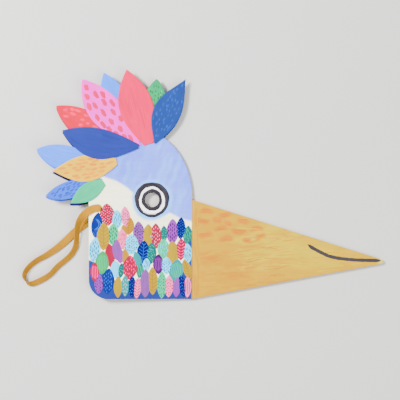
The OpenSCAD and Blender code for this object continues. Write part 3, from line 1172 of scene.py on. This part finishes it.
# The large dashes: x, y and length
BEAK_DASHES = (
    (18, 109.5, 13), (40.5, 104.5, 12), (13, 97, 13), (31, 98, 9), (44, 94.5, 7), (63, 97, 11),
    (35.5, 88, 12), (58, 84, 14), (79.5, 87.5, 13), (15.5, 79.5, 14), (41.5, 75, 13), (68, 72.5, 8),
    (84.5, 78, 10),
)
# Soft washes: count, region, length, width, angle, paints and strength
BEAK_WASHES = (
    (110, (5, 5), (120, 105), (14, 34), (3, 6), 0, ("beak_deep", "beak_yellow"), (0.2, 0.6)),
    (70, (60, 35), (205, 95), (18, 44), (3.5, 7), 0, ("beak_bright", "beak_bright", "beak_yellow"),
     (0.3, 0.8)),
    (26, (15, 12), (75, 60), (10, 26), (3, 6), 0, ("beak_bright", "beak_orange"), (0.15, 0.4)),
    (30, (1, 8), (8, 116), (16, 40), (1.5, 3), math.pi / 2, ("beak_deep", "beak_yellow"), (0.3, 0.7)),
)
BEAK_MARKS = [mark for row in BEAK_WASHES for mark in strewn(*row)]
# A soft orange wash under each dash
BEAK_MARKS += [(x, y, length * 1.45, 6.8, vary(-0.1, 0.1), "beak_orange", 0.75)
               for x, y, length in BEAK_DASHES]
# Long strokes: paints, count, region, length, width, angle and height
BEAK_STROKES = (
    (("beak_yellow", "beak_bright"), 70, ((60, 30), (225, 100)), (14, 34), (0.8, 1.6), 0.0, 0.0),
    (("beak_deep", "beak_yellow"), 60, ((5, 5), (120, 75)), (10, 26), (0.8, 1.6), 0.0, 0.004),
    (("beak_yellow", "beak_deep"), 40, ((1.5, 5), (7, 118)), (12, 30), (0.8, 1.4), math.pi / 2, 0.006),
)


def beak_colours(points):
    """The beak's ground: yellow, brightest along the middle and warmer at the lower back, with a painted
    highlight over the tip.
    """
    x, y = points.T
    middle = CREASE_HEIGHT / 2 * (1 - x / BEAK_LENGTH) + BEAK_TIP_Y * x / BEAK_LENGTH
    streaks = ripple(x * 0.3, y, 2.6, 8) * 0.5 + 0.5
    patches = ripple(x * 0.5, y, 9, 3) * 0.5 + 0.5
    bright = np.exp(-((x - 125) / 70) ** 2 - ((y - middle - 6) / 26) ** 2)
    bright = np.clip(bright * (0.2 + 0.7 * streaks + 0.6 * patches), 0, 1)
    colour = paint_over(linear("beak_yellow"), "beak_bright", bright)
    warm = np.exp(-((x - 46) / 46) ** 2 - ((y - 42) / 28) ** 2) * (0.2 + 0.6 * streaks + 0.3 * patches)
    colour = paint_over(colour, "beak_deep", np.clip(warm, 0, 1))
    colour = wash(points, colour, BEAK_MARKS)
    # The last few millimetres of the beak are laid over with a pale colour: a painted highlight on the
    # rounded tip
    return paint_over(colour, "beak_tip_highlight", 0.7 * step_over(x - BEAK_LENGTH + 5, 8))


def make_beak(face):
    card, paint = Shape(face), Shape(face)
    outline = beak_outline()
    card_sheet(card, [outline], 0, CARD, BEAK_STEP, beak_colours, flat_grain(11.0))
    card.build(f"{face}_card", "beak_card", face)
    for row in BEAK_STROKES:
        brush_strokes(paint, *row, move_in(outline, 1.5))
    for x, y, length in BEAK_DASHES:
        for row in (-1.6, 0.1, 1.7):
            ts = np.linspace(-0.5, 0.5, 6) * length * vary(0.9, 1.2)
            line = stack([x + ts + vary(-0.8, 0.8), y + row + 0.2 * np.sin(ts)])
            stroke(paint, line, 1.8, "beak_orange", 0.0, 0.02, rng.choice((0.97, 1.05)), blunt=0.3)
    mouth = smooth_route(MOUTH_LINE, 4)
    stroke(paint, mouth, MOUTH_WIDTH, "mouth", 0.05, 0.09, blunt=0.05)
    for shift in (-0.8, 0.6):
        stroke(paint, mouth[6:-4] + (0, shift), 0.7, "mouth", 0.12, 0.03, 1.25, blunt=0.1)
    paint.build(f"{face}_paint", "beak_card")


# ---- Feathers ----

# Tip, root, bulge to the right and left, cut, shape and level, as in the CAD model; then the
# slot, the paint and the pattern of the right feather, and the paint of the left one
FEATHERS = (
    ((-137, 273), (-64, 191), 16, 24.5, 0, 0.85, 2, "pink_feather", "feather_pink", "coral_spots", None),
    ((-110.5, 281.5), (-74, 200), 16.5, 18.5, 0, 0.9, 1, "pale_blue_feather", "feather_sky", "plain", None),
    ((-82, 285.5), (-54.5, 193), 18, 21.5, 13, 0.9, 3, "coral_feather", "feather_coral",
     "long_strokes", None),
    ((-44.5, 274), (-52, 196), 15, 14.5, 0, 0.8, 1, "green_feather", "feather_green", "green_dashes", None),
    ((-8.5, 274), (-47, 193), 14, 20.5, 0, 1.1, 4, "blue_feather", "feather_blue", "light_flecks", None),
    ((-169.5, 240), (-82, 196), 13.5, 20, 0, 0.85, 1, "red_feather", "feather_red", "pale_flecks", None),
    ((-162, 209.5), (-67, 190), 11.5, 25.5, 5, 0.9, 4, "royal_blue_feather", "feather_royal",
     "long_strokes", None),
    ((-193.5, 186), (-105, 163), 14.5, 17, 0, 0.8, 1, "sky_feather", "feather_pale", "long_strokes", None),
    ((-174, 159.5), (-94.5, 171), 12.5, 18.5, 8.5, 1.0, 3, "yellow_feather", "feather_yellow",
     "orange_dashes", "feather_navy"),
    ((-182.5, 128), (-112, 150), 9.5, 12, 0, 0.8, 1, "periwinkle_feather", "feather_periwinkle",
     "blue_dashes", None),
    ((-152, 119), (-110.5, 145.5), 10, 10, 9, 1.0, 2, "mint_feather", "feather_mint",
     "plain", "feather_deep_blue"),
)
# How far the left crest's feathers lie from the right one's, and its two low dark ones
LEFT_CREST_SHIFT = (-0.9, -1.7)
LOW_CREST_SHIFT = (-1.3, -2.5)
FEATHER_GAP = 0.01
MARK_RISE = 0.015
CORAL_SPOTS = (
    (-132, 263), (-131, 251.5), (-128.5, 239), (-120, 254), (-111.5, 254.5), (-121, 240.5), (-110, 245),
    (-100, 244), (-118.5, 226), (-111, 232), (-98.5, 232.5), (-89.5, 224.5), (-111, 217), (-101, 221),
    (-103.5, 211.5), (-94.5, 205), (-90, 212), (-84.5, 202), (-77, 200.5),
)
# Each feather's scattered marks: paint, size, gap, lean, skip, wildness and margin
FEATHER_MARKS = {
    "green_dashes": (("green_dash", (3.8, 1.7), (6.4, 3.4), 0.25, 0, 0.5, 0.5),
                     ("mint", (3.2, 1.2), (7.5, 5.5), 0.15, 0, 0.6, 0.5)),
    "light_flecks": (("blue_fleck", (4.6, 1.9), (8.0, 4.0), 0.12, 0.1, 0.6, 0.5),),
    "pale_flecks": (("red_fleck", (6.8, 3.6), (11.5, 6.2), 0.3, 0.12, 0.5, 0.4),),
    "orange_dashes": (("orange_dash", (9.0, 3.4), (11.5, 4.5), 0.06, 0, 0.45, 0.4),),
    "blue_dashes": (("blue_dash", (5.6, 2.1), (7.0, 3.2), 0.25, 0, 0.5, 0.5),),
}


def feather_marks(shape, leaf, words, paint, h):
    """A feather's pattern, then long soft strokes of its own paint."""
    for x, y in CORAL_SPOTS if words == "coral_spots" else ():
        length, width = vary(9.2, 11.2), vary(5.0, 6.2)
        dab(shape, (x, y), length, width, -1.0 + vary(-0.15, 0.15), "coral_spot", h, rough=0.18)
    for colour, *settings in FEATHER_MARKS.get(words, ()):
        scatter(shape, leaf, colour, h, *settings)
    count = 22 if words in ("long_strokes", "plain") else 12
    for _ in range(count):
        s = vary(-0.8, 0.8)
        start = vary(0.08, 0.6)
        ts = np.linspace(start, start + vary(0.15, 0.33), 7)
        stroke(shape, leaf.place(ts, s), vary(0.9, 2.0), paint, h - MARK_RISE, 0.025,
               rng.choice((0.93, 0.96, 1.05, 1.1)))


def make_feather(side, number, row):
    """One paper feather of a crest, with its paint."""
    tip, root, right, left, cut, full, level, slot, paint, words, left_paint = row
    shift = (0, 0)
    if side == "left":
        shift = LOW_CREST_SHIFT if left_paint else LEFT_CREST_SHIFT
        paint, words = (left_paint, "long_strokes") if left_paint else (paint, words)
    leaf = Leaf(np.add(tip, shift), np.add(root, shift), right, left, cut, full)
    seed = number * 7.0 + (3.5 if side == "left" else 0)

    def colours(points):
        tone = 1 + 0.05 * ripple(*points.T, 9, seed)
        return np.clip(linear(paint) * tone[:, None], 0, 1)

    def grain(points):
        away = points - leaf.tip
        return raised(stack([away @ leaf.along, away @ leaf.across]), seed)

    shape = Shape(side)
    top = level * FEATHER_CARD
    thick = FEATHER_CARD - FEATHER_GAP
    card_sheet(shape, [leaf.outline(44)], top, thick, FEATHER_STEP, colours, grain, None)
    feather_marks(shape, leaf, words, paint, top + MARK_RISE)
    shape.build(f"crest_{side}_{number}", slot, f"feather_{side}_{number}")


for side_name in ("right", "left"):
    make_head(side_name)
    make_beak(f"beak_{side_name}")
    for feather_number, feather_row in enumerate(FEATHERS, 1):
        make_feather(side_name, feather_number, feather_row)
